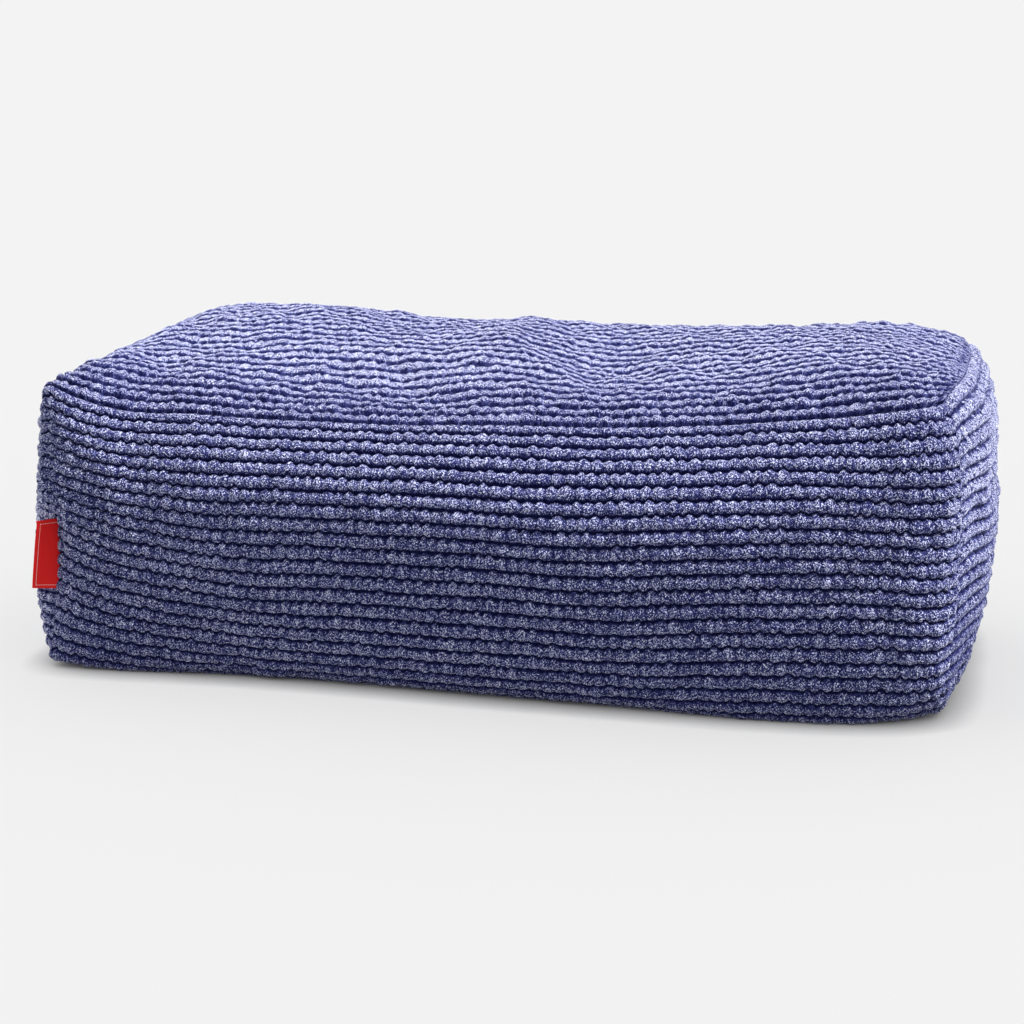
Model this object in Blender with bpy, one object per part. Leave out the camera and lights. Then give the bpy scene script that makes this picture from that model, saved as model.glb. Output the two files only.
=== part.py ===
"""A long bean-filled footstool in metres, +Z up: one stuffed bag of ribbed chenille, and the
folded cloth tab that is caught in its left front seam. The front faces -Y and the bag stands
on the plane z = 0, with the middle of its box over the origin."""

import bmesh
import bpy
import numpy as np

# Driving dimensions, in metres
HALF_LENGTH = 0.450  # middle to the corner points of the end seams, along X
HALF_DEPTH = 0.205  # middle to the same corner points, along Y
SIDE_RIBS = 22  # ribs up the front, and up the back
TOP_RIBS = 30  # ribs across the top
RIB_HEIGHT = 0.0045  # a rib's crest over the grooves beside it
SEAM_DIP = 0.0030  # how far a seam is sunk between the ribs beside it
FOOT_HEIGHT = 0.150  # height up to which an end is drawn in towards the floor
HOLLOW_FLOOR = 0.220  # height from which the top's hollows press, fully so above HOLLOW_FULL
HOLLOW_FULL = 0.310
FLOOR_LIFT = 0.007  # how far the base's end seams are clear of the floor
TAB_FOOT = 0.085  # height of the tab's lower edge over the floor
TAB_HEIGHT = 0.073
TAB_WIDTH = 0.0225
TAB_FLARE = 0.0025  # how much wider it is at its lower edge
TAB_LAYER = 0.0009  # thickness of each of its two layers
TAB_FOLD_GAP = 0.0008  # between its layers
TAB_SEAT = -0.0020  # from the seam's line to the tab's root, which sits in the seam's dip
TAB_HEADING = 192  # degrees from +X at which its lower edge leaves the seam
TAB_TURN = 38  # degrees that its upper edge is turned further to the front

WRAP_RIBS = 2 * SIDE_RIBS + TOP_RIBS

# Shape powers: the higher, the closer to its edge a form keeps its full size
SEAM_BOW = 2.5  # the bow of a seam that is drawn in
EAR_POINT = 8  # the points at the top's corners
CORNER_ALONG = 4  # the drawing in of the same corners, along the top
CORNER_BELOW = 14  # and down the upright seams
FOOT_CURVE = 1.5  # the drawing in towards the floor
LOW_ROUND = 2.2  # the tucked lower edges of the front and back
PANEL_CROWN = 4  # an end panel's swell from its foot to its top

# How close to the ends of the bag a form keeps, as powers of the place along it
NEAR_END = 3
NEAR_CORNERS = 8
HOLLOWS_WITHIN = 10
NEAR_SEAM = 14
AT_SEAM = 20
LIFT_FROM = 0.75  # share of the half length from which the base rises from the floor
UPPER_FROM = 0.53  # shares of an upright seam's height between which its lower form turns
UPPER_TO = 0.66  # into its upper one

# How many faces there are along the bag, across an end panel, and along and round the tab
LONG_STEPS = 24
LONG_PULL = 0.45  # how much closer together those are at its ends
PANEL_STEPS = 10
TAB_STEPS = 6
TAB_BENDS = 7
SECTION_STEPS = 161

# Sections across the bag, a row for each place along it. Sizes are in millimetres:
# along     place, as a share of the half length, from the left end to the right one
# front     how far the front swells past the corner points, and back for the back
# crown     height of the top of the section
# set_back  how far the crown lies behind the middle
# waist     height where the front and back stand out most
# tuck      how far the front's lower edge is tucked in under the bag
# soft      roundness of the upper front edge: 2 is an ellipse, 10 nearly square
# back_soft the same for the upper back edge
# seam      length of cloth from the lower edge up to the seam at the top's edge
COLUMNS = "along front back crown set_back waist tuck soft back_soft seam"
SECTIONS = (
    (-1.00, -8, -6, 294, 0, 150, 14, 11.0, 11.0, 286),
    (-0.96, 2, 4, 311, 50, 154, 24, 7.0, 7.5, 285),
    (-0.90, 6, 14, 326, 105, 158, 29, 4.6, 5.0, 285),
    (-0.65, 10, 26, 338, 83, 165, 47, 2.7, 3.4, 297),
    (-0.30, 21, 38, 330, 84, 168, 57, 2.3, 3.0, 308),
    (0.00, 36, 43, 332, 62, 168, 61, 2.2, 3.0, 317),
    (0.30, 43, 42, 333, 50, 165, 57, 2.2, 3.0, 318),
    (0.65, 38, 32, 337, 10, 160, 33, 2.5, 3.2, 312),
    (0.86, 29, 22, 339, 8, 155, 36, 3.6, 4.4, 316),
    (0.95, 19, 16, 330, 4, 152, 46, 5.5, 6.0, 319),
    (0.98, 10, 8, 325, 2, 151, 46, 6.5, 7.0, 318),
    (1.00, -5, -6, 321, 0, 150, 35, 8.0, 8.0, 300),
)

# The end panels. Sizes are in millimetres:
# side    -1 at the left end
# low     how far the upright seams' lower half is drawn in, less than 0 if it bows out
# high    the same for their upper half
# foot    how far the end is drawn in at the floor, less than 0 if it spreads
# top     how far the seam at the top is drawn in at its middle
# corner  how far the two top corners are drawn in
# ear     how far they stand over the seam between them
# swell   how far the panel stands out past its seams
# slack   the share of that which is lost beside the upper half of the upright seams
# edge    how suddenly the panel swells beside its seams
ENDS = {
    -1: {"low": 6, "high": -8, "foot": -11, "top": 8, "corner": -4, "ear": 10,
         "swell": 45, "slack": 0.6, "edge": 9.0},
    1: {"low": -6, "high": -7, "foot": 7, "top": -3, "corner": 14, "ear": 4,
        "swell": 21, "slack": 0.3, "edge": 3.5},
}

# Hollows in the top, a row for each. Sizes are in millimetres, depth is negative on a swelling,
# and turn is in degrees from the X axis.
DENT_COLUMNS = "x y long wide turn depth"
DENTS = (
    (-330, -60, 110, 60, 10, 12),
    (-235, -130, 110, 60, 8, 8),
    (-95, -120, 110, 60, -15, 14),
    (-15, 40, 34, 120, -8, -7),
    (105, -50, 62, 85, 10, 20),
    (215, -70, 55, 80, 12, 9),
    (-230, 110, 120, 60, 0, -6),
    (310, 60, 120, 70, 0, -5),
)


def smooth_columns(rows, names, at):
    """Each named column as a smooth curve through the rows, read at the place at."""
    table = np.array(rows, float)
    along, values = table[:, 0], table[:, 1:]
    slope = np.gradient(values, along, axis=0)
    i = min(max(int(np.searchsorted(along, at, side="right")) - 1, 0), len(along) - 2)
    step = along[i + 1] - along[i]
    s = (at - along[i]) / step
    curve = (
        values[i] * (1 + 2 * s) * (1 - s) ** 2
        + slope[i] * step * s * (1 - s) ** 2
        + values[i + 1] * s**2 * (3 - 2 * s)
        + slope[i + 1] * step * s**2 * (s - 1)
    )
    return dict(zip(names.split()[1:], curve))


def quarter(across, up, roundness, turn):
    """Points of a quarter of a rounded box, from its side at turn 0 to its top at turn 1."""
    angle = turn * np.pi / 2
    power = 2 / roundness
    return across * np.cos(angle) ** power, up * np.sin(angle) ** power


def section(u):
    """The section at place u as a fine line of (y, z) points, from the lower front edge over the
    top to the lower back edge, and the length of the cloth up to each of them."""
    size = smooth_columns(SECTIONS, COLUMNS, u)
    mm = {name: value / 1000 for name, value in size.items()}
    turn = 0.5 - 0.5 * np.cos(np.linspace(0, np.pi, SECTION_STEPS))
    rise = mm["crown"] - mm["waist"]
    front, back = HALF_DEPTH + mm["front"], HALF_DEPTH + mm["back"]
    low_y, low_z = quarter(mm["tuck"], mm["waist"], LOW_ROUND, turn[::-1])
    f_y, f_z = quarter(front + mm["set_back"], rise, size["soft"], turn)
    b_y, b_z = quarter(back - mm["set_back"], rise, size["back_soft"], turn[::-1])
    y = np.concatenate([mm["tuck"] - front - low_y, mm["set_back"] - f_y[1:]])
    y = np.concatenate([y, mm["set_back"] + b_y[1:], back - mm["tuck"] + low_y[::-1][1:]])
    z = np.concatenate([mm["waist"] - low_z, mm["waist"] + f_z[1:]])
    z = np.concatenate([z, mm["waist"] + b_z[1:], mm["waist"] - low_z[::-1][1:]])
    rise_share = max(abs(u) - LIFT_FROM, 0) / (1 - LIFT_FROM)
    z = z + FLOOR_LIFT * rise_share**2 * np.clip(1 - z / mm["waist"], 0, 1)
    length = np.concatenate([[0], np.cumsum(np.hypot(np.diff(y), np.diff(z)))])
    return y, z, length


def rib_lengths(u, y, z, length):
    """The length along a section at the knots of its rib count: its two lower edges and the two
    seams at the top's edges, which lie on the section's corners at the ends of the bag."""
    seam = smooth_columns(SECTIONS, COLUMNS, u)["seam"] / 1000
    corners = length[[int(np.argmax(z - y)), int(np.argmax(z + y))]]
    near_end = abs(u) ** AT_SEAM
    seams = np.array([seam, length[-1] - seam])
    seams = seams + (corners - seams) * near_end
    return np.array([0, seams[0], seams[1], length[-1]])


def hollows(x, y):
    """How far the top is pressed down at each place."""
    names = DENT_COLUMNS.split()
    depth = np.zeros_like(x)
    for row in DENTS:
        dent = dict(zip(names, row))
        turn = np.radians(dent["turn"])
        dx, dy = x - dent["x"] / 1000, y - dent["y"] / 1000
        a = (dx * np.cos(turn) + dy * np.sin(turn)) / (dent["long"] / 1000)
        b = (dy * np.cos(turn) - dx * np.sin(turn)) / (dent["wide"] / 1000)
        depth += dent["depth"] / 1000 * np.exp(-(a**2) - b**2)
    return depth


def upper_share(upright):
    """How much of an upright seam's upper form holds at a share of its height."""
    rise = np.clip((upright - UPPER_FROM) / (UPPER_TO - UPPER_FROM), 0, 1)
    return rise**2 * (3 - 2 * rise)


def wrap(places, ribs):
    """The points of the cloth that runs up the front, over the top and down the back, for each
    pair of a place along the bag and a rib count."""
    knots = np.array([0, SIDE_RIBS, WRAP_RIBS - SIDE_RIBS, WRAP_RIBS])
    upright = np.clip(np.minimum(ribs, WRAP_RIBS - ribs) / SIDE_RIBS, 0, 1)
    across = np.clip((ribs - SIDE_RIBS) / TOP_RIBS, 0, 1) * 2 - 1
    on_top = upright >= 1
    waisted = np.where(on_top, 0, 1 - np.abs(2 * upright - 1) ** SEAM_BOW)
    upper = upper_share(upright)
    top_bow = np.where(on_top, 1 - np.abs(across) ** SEAM_BOW, 0)
    ear = np.where(on_top, np.abs(across) ** EAR_POINT, upright**EAR_POINT)
    corner = np.where(on_top, np.abs(across) ** CORNER_ALONG, upright**CORNER_BELOW)
    points = np.zeros((len(places), len(ribs), 3))
    for i, u in enumerate(places):
        y, z, length = section(u)
        at = np.interp(ribs, knots, rib_lengths(u, y, z, length))
        y_at, z_at = np.interp(at, length, y), np.interp(at, length, z)
        end = ENDS[1 if u > 0 else -1]
        draw = waisted * (end["low"] + (end["high"] - end["low"]) * upper) / 1000
        foot = end["foot"] / 1000 * np.clip(1 - z_at / FOOT_HEIGHT, 0, 1) ** FOOT_CURVE
        inward = draw + foot + (end["top"] * top_bow + end["corner"] * corner) / 1000
        points[i, :, 0] = u * (HALF_LENGTH - inward * abs(u) ** NEAR_END)
        points[i, :, 1] = y_at - np.sign(y_at) * np.maximum(draw, 0) * abs(u) ** NEAR_SEAM
        points[i, :, 2] = z_at + end["ear"] / 1000 * ear * abs(u) ** NEAR_CORNERS
    high = np.clip((points[..., 2] - HOLLOW_FLOOR) / (HOLLOW_FULL - HOLLOW_FLOOR), 0, 1)
    inside = 1 - np.abs(places[:, None]) ** HOLLOWS_WITHIN
    press = hollows(points[..., 0], points[..., 1])
    points[..., 2] -= press * high**2 * (3 - 2 * high) * inside
    return points


def end_panel(side, v, w):
    """The points of an end panel, for each pair of a share v of its depth and w of its height.
    It fills the four seams around it and swells past them. side is -1 at the left end."""
    u = np.array([float(side)])
    front = wrap(u, w * SIDE_RIBS)[0]
    back = wrap(u, WRAP_RIBS - w * SIDE_RIBS)[0]
    top = wrap(u, SIDE_RIBS + v * TOP_RIBS)[0]
    corner_ribs = np.array([0, WRAP_RIBS, SIDE_RIBS, WRAP_RIBS - SIDE_RIBS], float)
    low_front, low_back, top_front, top_back = wrap(u, corner_ribs)[0]
    foot = low_front + v[:, None] * (low_back - low_front)
    vv, ww = v[:, None, None], w[None, :, None]
    points = (1 - vv) * front[None] + vv * back[None]
    points += (1 - ww) * foot[:, None] + ww * top[:, None]
    points -= (1 - ww) * ((1 - vv) * low_front + vv * low_back)
    points -= ww * ((1 - vv) * top_front + vv * top_back)
    shape = ENDS[side]
    swell = 1 - np.abs(2 * v - 1) ** shape["edge"]
    height = (1 - np.abs(2 * w - 1) ** PANEL_CROWN) * (1 - shape["slack"] * upper_share(w))
    swell = swell[:, None] * height[None, :]
    points[..., 0] += side * shape["swell"] / 1000 * swell
    return points


class Cover:
    """The bag's closed mesh, with the height of its ribs at each point."""

    def __init__(self):
        self.mesh = bmesh.new()
        self.heights = []

    def point(self, place, height):
        vertex = self.mesh.verts.new(place)
        self.heights.append(height)
        return vertex

    def sheet(self, rows):
        """Fill between neighbouring rows of as many points each."""
        for low, high in zip(rows, rows[1:]):
            for k in range(len(low) - 1):
                self.face(low[k], low[k + 1], high[k + 1], high[k])

    def zip_rows(self, few, many):
        """Fill between two rows that share their ends, though they differ in points."""
        i = j = 0
        while i < len(few) - 1 or j < len(many) - 1:
            few_next = (i + 1) / (len(few) - 1)
            many_next = (j + 1) / (len(many) - 1)
            if j >= len(many) - 1 or (i < len(few) - 1 and few_next <= many_next):
                self.face(few[i], few[i + 1], many[j])
                i += 1
            else:
                self.face(few[i], many[j + 1], many[j])
                j += 1

    def face(self, *corners):
        loop = list(dict.fromkeys(corners))
        if len(loop) > 2:
            self.mesh.faces.new(loop)


def rib_height(ribs):
    """The height of the cloth at a rib count: crests lie halfway between whole counts."""
    return RIB_HEIGHT * (0.5 - np.abs(2 * (ribs % 1) - 1))


def closer_to_ends(steps, pull):
    """Places from -1 to 1, set closer together towards both ends."""
    even = np.linspace(-1, 1, steps + 1)
    return (1 - pull) * even + pull * np.sin(even * np.pi / 2)


def build_cover(material):
    """The stuffed bag: its ribbed cloth all round, its two end panels and its flat base."""
    places = closer_to_ends(LONG_STEPS, LONG_PULL)
    ribs = np.arange(0, WRAP_RIBS + 0.25, 0.5)
    heights = rib_height(ribs)
    heights[[0, -1]] = 0
    heights[[2 * SIDE_RIBS, -1 - 2 * SIDE_RIBS]] = -SEAM_DIP
    cover = Cover()
    points = wrap(places, ribs)
    grid = []
    for i, u in enumerate(places):
        row = np.where(ribs % WRAP_RIBS > 0, -SEAM_DIP, 0) if abs(u) == 1 else heights
        grid.append([cover.point(p, h) for p, h in zip(points[i], row)])
    cover.sheet([list(row) for row in zip(*grid)])

    v = 0.5 + 0.5 * closer_to_ends(PANEL_STEPS, 1.0)
    w = np.arange(0, SIDE_RIBS + 0.25, 0.5) / SIDE_RIBS
    feet = []
    for side, column in ((-1, grid[0]), (1, grid[-1])):
        panel = end_panel(side, v, w)
        rows = []
        for j, share in enumerate(w[:-1]):
            height = rib_height(share * SIDE_RIBS) if j else 0
            inner = [cover.point(panel[k, j], height) for k in range(1, PANEL_STEPS)]
            rows.append([column[j], *inner, column[-1 - j]])
        feet.append(rows[0])
        top = column[len(w) - 1 : len(column) - len(w) + 1]
        last = rows[-1]
        cover.sheet(rows)
        cover.zip_rows([top[0], *last[1:-1], top[-1]], top)
        cover.face(last[0], last[1], top[0])
        cover.face(last[-2], last[-1], top[-1])

    base = [feet[0]]
    for i in range(1, LONG_STEPS):
        low_front, low_back = points[i, 0], points[i, -1]
        inner = [cover.point(low_front + s * (low_back - low_front), 0) for s in v[1:-1]]
        base.append([grid[i][0], *inner, grid[i][-1]])
    base.append(feet[1])
    cover.sheet(base)

    mesh = cover.mesh
    bmesh.ops.triangulate(mesh, faces=mesh.faces[:])
    bmesh.ops.recalc_face_normals(mesh, faces=mesh.faces[:])
    mesh.normal_update()
    for vertex, height in zip(mesh.verts, cover.heights):
        vertex.co += vertex.normal * height
        vertex.co.z = max(vertex.co.z, 0)
    return make_object("cover", mesh, material)


def tab_outline(seam, heading, width):
    """The tab seen from above at one height: two layers that meet in a fold at the outer end.
    seam is the seam's point there, and heading the angle at which the tab leaves it."""
    out = np.array([np.cos(heading), np.sin(heading)])
    aside = np.array([-out[1], out[0]])
    inner = TAB_FOLD_GAP / 2
    outer = inner + TAB_LAYER
    bend = np.linspace(-np.pi / 2, np.pi / 2, TAB_BENDS)
    fold = width - outer
    line = [(TAB_SEAT, -outer)]
    line += [(fold + outer * np.cos(a), outer * np.sin(a)) for a in bend]
    line += [(TAB_SEAT, outer), (TAB_SEAT, inner)]
    line += [(fold + inner * np.cos(a), inner * np.sin(a)) for a in bend[::-1]]
    line += [(TAB_SEAT, -inner)]
    return [seam + out * along + aside * across for along, across in line]


def build_tab(material):
    """The folded tab, turned towards the front at its upper end."""
    mesh = bmesh.new()
    seam = wrap(np.array([-1.0]), np.linspace(0, SIDE_RIBS, SECTION_STEPS))[0]
    rings = []
    for share in np.linspace(0, 1, TAB_STEPS + 1):
        z = TAB_FOOT + share * TAB_HEIGHT
        at = [np.interp(z, seam[:, 2], seam[:, axis]) for axis in range(2)]
        heading = np.radians(TAB_HEADING + TAB_TURN * share)
        width = TAB_WIDTH + TAB_FLARE * (1 - share)
        ring = tab_outline(np.array(at), heading, width)
        rings.append([mesh.verts.new((x, y, z)) for x, y in ring])
    count = len(rings[0])
    for low, high in zip(rings, rings[1:]):
        for k in range(count):
            mesh.faces.new((low[k], low[(k + 1) % count], high[(k + 1) % count], high[k]))
    for ring in (rings[0], rings[-1]):
        half = count // 2
        for k in range(half - 1):
            mesh.faces.new((ring[k], ring[k + 1], ring[count - 2 - k], ring[count - 1 - k]))
    bmesh.ops.triangulate(mesh, faces=mesh.faces[:])
    bmesh.ops.recalc_face_normals(mesh, faces=mesh.faces[:])
    return make_object("side_tab", mesh, material)


def make_object(name, mesh, material):
    """An object in the scene from a finished bmesh."""
    data = bpy.data.meshes.new(name)
    mesh.to_mesh(data)
    mesh.free()
    data.materials.append(material)
    made = bpy.data.objects.new(name, data)
    bpy.context.scene.collection.objects.link(made)
    return made


def make_material(name, colour, roughness):
    """A plain cloth."""
    material = bpy.data.materials.new(name)
    material.use_nodes = True
    shader = material.node_tree.nodes["Principled BSDF"]
    shader.inputs["Base Color"].default_value = (*colour, 1)
    shader.inputs["Roughness"].default_value = roughness
    shader.inputs["Metallic"].default_value = 0
    return material


def centre_over_origin(parts, reference):
    """Move all the parts by the step that sets the reference's box on the origin."""
    corners = np.array([v.co for v in reference.data.vertices])
    low, high = corners.min(axis=0), corners.max(axis=0)
    step = np.array([-(low[0] + high[0]) / 2, -(low[1] + high[1]) / 2, -low[2]])
    for part in parts:
        for vertex in part.data.vertices:
            vertex.co += type(vertex.co)(step)


def main():
    for old in list(bpy.data.objects):
        bpy.data.objects.remove(old, do_unlink=True)
    chenille = make_material("chenille", (0.085, 0.09, 0.20), 0.95)
    red_cloth = make_material("red_cloth", (0.42, 0.012, 0.014), 0.85)
    cover = build_cover(chenille)
    tab = build_tab(red_cloth)
    centre_over_origin([cover, tab], cover)


main()
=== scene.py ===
"""The looks of a long bean-filled footstool: six panels of ribbed bobble chenille sewn to one
bag, and a folded red tab in its left front seam. Metres, +Z up, front towards -Y."""

import bpy
import numpy as np
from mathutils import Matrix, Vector


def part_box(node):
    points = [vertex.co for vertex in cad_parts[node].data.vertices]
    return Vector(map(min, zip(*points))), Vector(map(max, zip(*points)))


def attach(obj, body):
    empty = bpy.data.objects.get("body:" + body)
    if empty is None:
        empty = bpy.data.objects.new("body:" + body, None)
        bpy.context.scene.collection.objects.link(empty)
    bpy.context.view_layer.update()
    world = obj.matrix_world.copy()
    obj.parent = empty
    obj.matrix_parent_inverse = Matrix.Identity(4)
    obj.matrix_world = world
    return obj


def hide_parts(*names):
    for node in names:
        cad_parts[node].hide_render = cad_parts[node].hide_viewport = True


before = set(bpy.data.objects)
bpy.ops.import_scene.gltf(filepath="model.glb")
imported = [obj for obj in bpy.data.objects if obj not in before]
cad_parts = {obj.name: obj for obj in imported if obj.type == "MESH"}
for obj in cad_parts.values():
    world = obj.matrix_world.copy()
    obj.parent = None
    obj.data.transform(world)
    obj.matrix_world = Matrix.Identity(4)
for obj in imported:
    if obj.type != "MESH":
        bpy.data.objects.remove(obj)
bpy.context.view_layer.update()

# The bag's own sizes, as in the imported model, in metres
HALF_LENGTH = 0.450
HALF_DEPTH = 0.205
SIDE_RIBS = 22
TOP_RIBS = 30
FOOT_HEIGHT = 0.150
FLOOR_LIFT = 0.007
HOLLOW_FLOOR = 0.220
HOLLOW_FULL = 0.310
WRAP_RIBS = 2 * SIDE_RIBS + TOP_RIBS

# Shape powers and places along the bag
SEAM_BOW = 2.5
EAR_POINT = 8
CORNER_ALONG = 4
CORNER_BELOW = 14
FOOT_CURVE = 1.5
LOW_ROUND = 2.2
PANEL_CROWN = 4
NEAR_END = 3
NEAR_CORNERS = 8
HOLLOWS_WITHIN = 10
NEAR_SEAM = 14
AT_SEAM = 20
LIFT_FROM = 0.75
UPPER_FROM = 0.53
UPPER_TO = 0.66
SECTION_STEPS = 161

# Sections across the bag, in millimetres, a row for each place along it
COLUMNS = "along front back crown set_back waist tuck soft back_soft seam"
SECTIONS = (
    (-1.00, -8, -6, 294, 0, 150, 14, 11.0, 11.0, 286),
    (-0.96, 2, 4, 311, 50, 154, 24, 7.0, 7.5, 285),
    (-0.90, 6, 14, 326, 105, 158, 29, 4.6, 5.0, 285),
    (-0.65, 10, 26, 338, 83, 165, 47, 2.7, 3.4, 297),
    (-0.30, 21, 38, 330, 84, 168, 57, 2.3, 3.0, 308),
    (0.00, 36, 43, 332, 62, 168, 61, 2.2, 3.0, 317),
    (0.30, 43, 42, 333, 50, 165, 57, 2.2, 3.0, 318),
    (0.65, 38, 32, 337, 10, 160, 33, 2.5, 3.2, 312),
    (0.86, 29, 22, 339, 8, 155, 36, 3.6, 4.4, 316),
    (0.95, 19, 16, 330, 4, 152, 46, 5.5, 6.0, 319),
    (0.98, 10, 8, 325, 2, 151, 46, 6.5, 7.0, 318),
    (1.00, -5, -6, 321, 0, 150, 35, 8.0, 8.0, 300),
)
ENDS = {
    -1: {"low": 6, "high": -8, "foot": -11, "top": 8, "corner": -4, "ear": 10,
         "swell": 45, "slack": 0.6, "edge": 9.0},
    1: {"low": -6, "high": -7, "foot": 7, "top": -3, "corner": 14, "ear": 4,
        "swell": 21, "slack": 0.3, "edge": 3.5},
}
DENT_COLUMNS = "x y long wide turn depth"
DENTS = (
    (-330, -60, 110, 60, 10, 12),
    (-235, -130, 110, 60, 8, 8),
    (-95, -120, 110, 60, -15, 14),
    (-15, 40, 34, 120, -8, -7),
    (105, -50, 62, 85, 10, 20),
    (215, -70, 55, 80, 12, 9),
    (-230, 110, 120, 60, 0, -6),
    (310, 60, 120, 70, 0, -5),
)

# Points of the smooth sheets that the panels' cloth lies on
ALONG_POINTS = 321  # along the bag
POINTS_PER_RIB = 4  # round it
END_POINTS = (121, 89)  # across the depth and up the height of an end
BASE_POINTS = 61  # across the depth of the base

# The cloth: ribs of bobbles, in metres unless a share of a rib or of a bobble is meant
RIB_PITCH = 0.0150
BOBBLE_PITCH = 0.0120
RIB_RELIEF = 0.0052  # a bobble's face over the groove beside it
TOOTH = 0.27  # how far a bobble's tip reaches over the groove above it, as a share of a rib
SAG = 0.10  # how far its lower edge hangs into the groove below it, likewise
TIP_SETBACK = 0.06  # how far a rib's upper edge is set back between the tips, likewise
LEAST_GAP = 0.045  # the narrowest that a groove gets, likewise
FUZZ = 0.0007  # unevenness of the pile's tips
COLUMNS_PER_BOBBLE = 6
BASE_COLUMNS_PER_BOBBLE = 4
HITCH_REACH = 0.14  # share of the front along which its ribs are drawn up
RELIEF_BLEND = 7  # ribs from a panel's edges to where its relief is as its table says
SPARE_BOBBLES = 6  # more than fill a rib, for those that drift past its end

# Form of a bobble and of a rib. Powers under 1 make it full, and those over 1 make it pointed.
TIP_POWER = 1.5
SAG_POWER = 0.6
RIB_POWER = 0.5
CREST_POWER = 0.8  # under 1, a rib's crest lies below its middle
CREASE_REACH = 0.17  # from a crease's middle, as a share of a bobble
DOME_DROP = 0.12  # how much lower a bobble is at its sides, as a share of its height

# How the bobbles differ from each other
TOOTH_RANGE = (0.3, 1.3)  # the reach of their tips, as a share of TOOTH
BRIDGE_RANGE = (0.3, 1)  # how far the pile covers a groove, as a share of the panel's broken
STAGGER = 0.5  # how far every second rib is shifted, in bobbles
START_SPREAD = 0.12  # how far a rib's first bobble lies off its place, in bobbles
DRIFT_WAVES = ((0.22, 0.41), (0.14, 0.93), (0.07, 2.3))  # height in bobbles, radians a bobble
SWAY_WAVES = ((1, 0.7, 1), (0.5, 2.1, 4), (0.18, 5.3, 7))  # height, waves along, turn upwards
TONES = 0.10  # how much they differ in lightness

# Painted shade on the ribs and in the seams
CREASE_SHADE_DEPTH = 0.0030  # depth at which a crease would be painted fully dark, as painted shade
UPPER_FLANK_SHADE = 0.08  # share of a rib painted dark at its upper side, as painted shade under the rib above
SEAM_SHADE = 0.3  # how much darker the faces are in a seam across the ribs

# Seams, stitches and the filling's lumps, in metres
SEAM_FADE = 0.003  # the ribs reach their height this far from a seam across them
GROOVE_SEAM = 0.0026  # how far a seam along the ribs is sunk, which lies in a groove
END_SEAM = 0.0004  # how far a seam across them is sunk
TACK_FROM_END = 0.0060  # from the top's end seams to the row of stitches beside them
TACK_WIDTH = 0.0022
TACK_DEPTH = 0.0020
RIM = 0.006  # seam allowance turned in
CLOTH = 0.004  # thickness of a panel
LUMP_WAVES = 7  # how many waves make up the lumps
LUMP_LENGTHS = (0.035, 0.090)  # shortest and longest of them
LUMP_FADE = 0.030  # how far from a seam they reach their height
OUTER_LOWEST = 0.0003  # least height over the floor, on the outer face
INNER_LOWEST = 0.001  # and on the inner side
INNER_EVERY = (10, 8)  # columns and rows of the outer face for each one of the inner side
PANELS_APART = 0.05  # how far apart the panels lie in the pile's noise

# The core of the bag, in metres, towards which the seam allowances are turned
CORE_HALF_LENGTH = 0.33
CORE_HEIGHT = 0.16
CORE_DEPTH = 0.2  # as a share of the depth at the seam

# Where the rows of points lie across one rib, close together beside its grooves
CLOSE_ROWS = (0.0, 0.05, 0.16, 0.36, 0.60, 0.82, 0.94, 1.0)
TOP_ROWS = (0.0, 0.07, 0.25, 0.50, 0.75, 0.93, 1.0)
BASE_ROWS = (0.0, 0.15, 0.50, 0.85, 1.0)

# The form of the panels' cloth, a row for each panel:
# ribs        how many it has from its lower edge to its upper one
# rows        the places across a rib of its rows of points
# crease      depth of the creases between a rib's bobbles, in metres, which also sets how dark they are painted, as painted shade
# gap         width of the grooves at the panel's ends, as a share of a rib
# gap_middle  the same halfway between them
# sway        how far the ribs wander, in ribs
# hitch       how far they are drawn up beside the left end, in ribs
# uneven      how much the bobbles differ in height, as a share of it
# flank       share of a rib that is painted dark at its lower side, as painted shade
# broken      how far the pile covers the grooves between its bobbles, from 0 to 1
# lumps       height of the broad lumps of the filling, in metres
# relief      share of the full height of the ribs, away from the panel's edges
PANEL_COLUMNS = "ribs rows crease gap gap_middle sway hitch uneven flank broken lumps relief"
PANELS = {
    "cover_front": (SIDE_RIBS, CLOSE_ROWS, .0008, .04, .15, 0.25, 1.5, 0.12, .14, 0.0, .0008, 1.0),
    "cover_top": (TOP_RIBS, TOP_ROWS, .0012, .18, .18, 0.90, 0.0, 0.28, .26, 0.8, .0015, 0.48),
    "cover_back": (SIDE_RIBS, TOP_ROWS, .0007, .04, .12, 0.25, 0.5, 0.12, .12, 0.0, .0008, 1.0),
    "cover_base": (26, BASE_ROWS, .0010, .10, .10, 0.30, 0.0, 0.12, .10, 0.0, .0, 0.35),
    "cover_left_end": (SIDE_RIBS, CLOSE_ROWS, .0014, .16, .16, 0.30, 0.0, 0.20, .24, 0.2, .0010, 1.0),
    "cover_right_end": (SIDE_RIBS, CLOSE_ROWS, .0013, .19, .19, 0.30, 0.0, 0.20, .32, 0.6, .0010, 0.8),
}

# Painted light and shade, a row for each panel: the top and the ends are painted lighter than the
# front and back, and most panels darker towards their lower edge
# tips_low    how light the pile is painted at the panel's lower edge, from 0 to 1, as painted shade
# tips        how light it is painted higher up, as painted light
# blend       share of the panel's height over which it turns from the one to the other
# foot_flank  share of the lowest rib that is painted dark at its upper side, as painted shade
# seed        start of the panel's random numbers
PAINTED_LIGHT_COLUMNS = "tips_low tips blend foot_flank seed"
PAINTED_LIGHT = {
    "cover_front": (0.31, 0.38, 0.25, 0.27, 11),
    "cover_top": (0.44, 0.64, 0.30, 0.08, 12),
    "cover_back": (0.31, 0.38, 0.25, 0.27, 13),
    "cover_base": (0.38, 0.38, 1.0, 0.08, 14),
    "cover_left_end": (0.54, 0.68, 0.5, 0.32, 15),
    "cover_right_end": (0.16, 0.62, 0.85, 0.32, 16),
}

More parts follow.
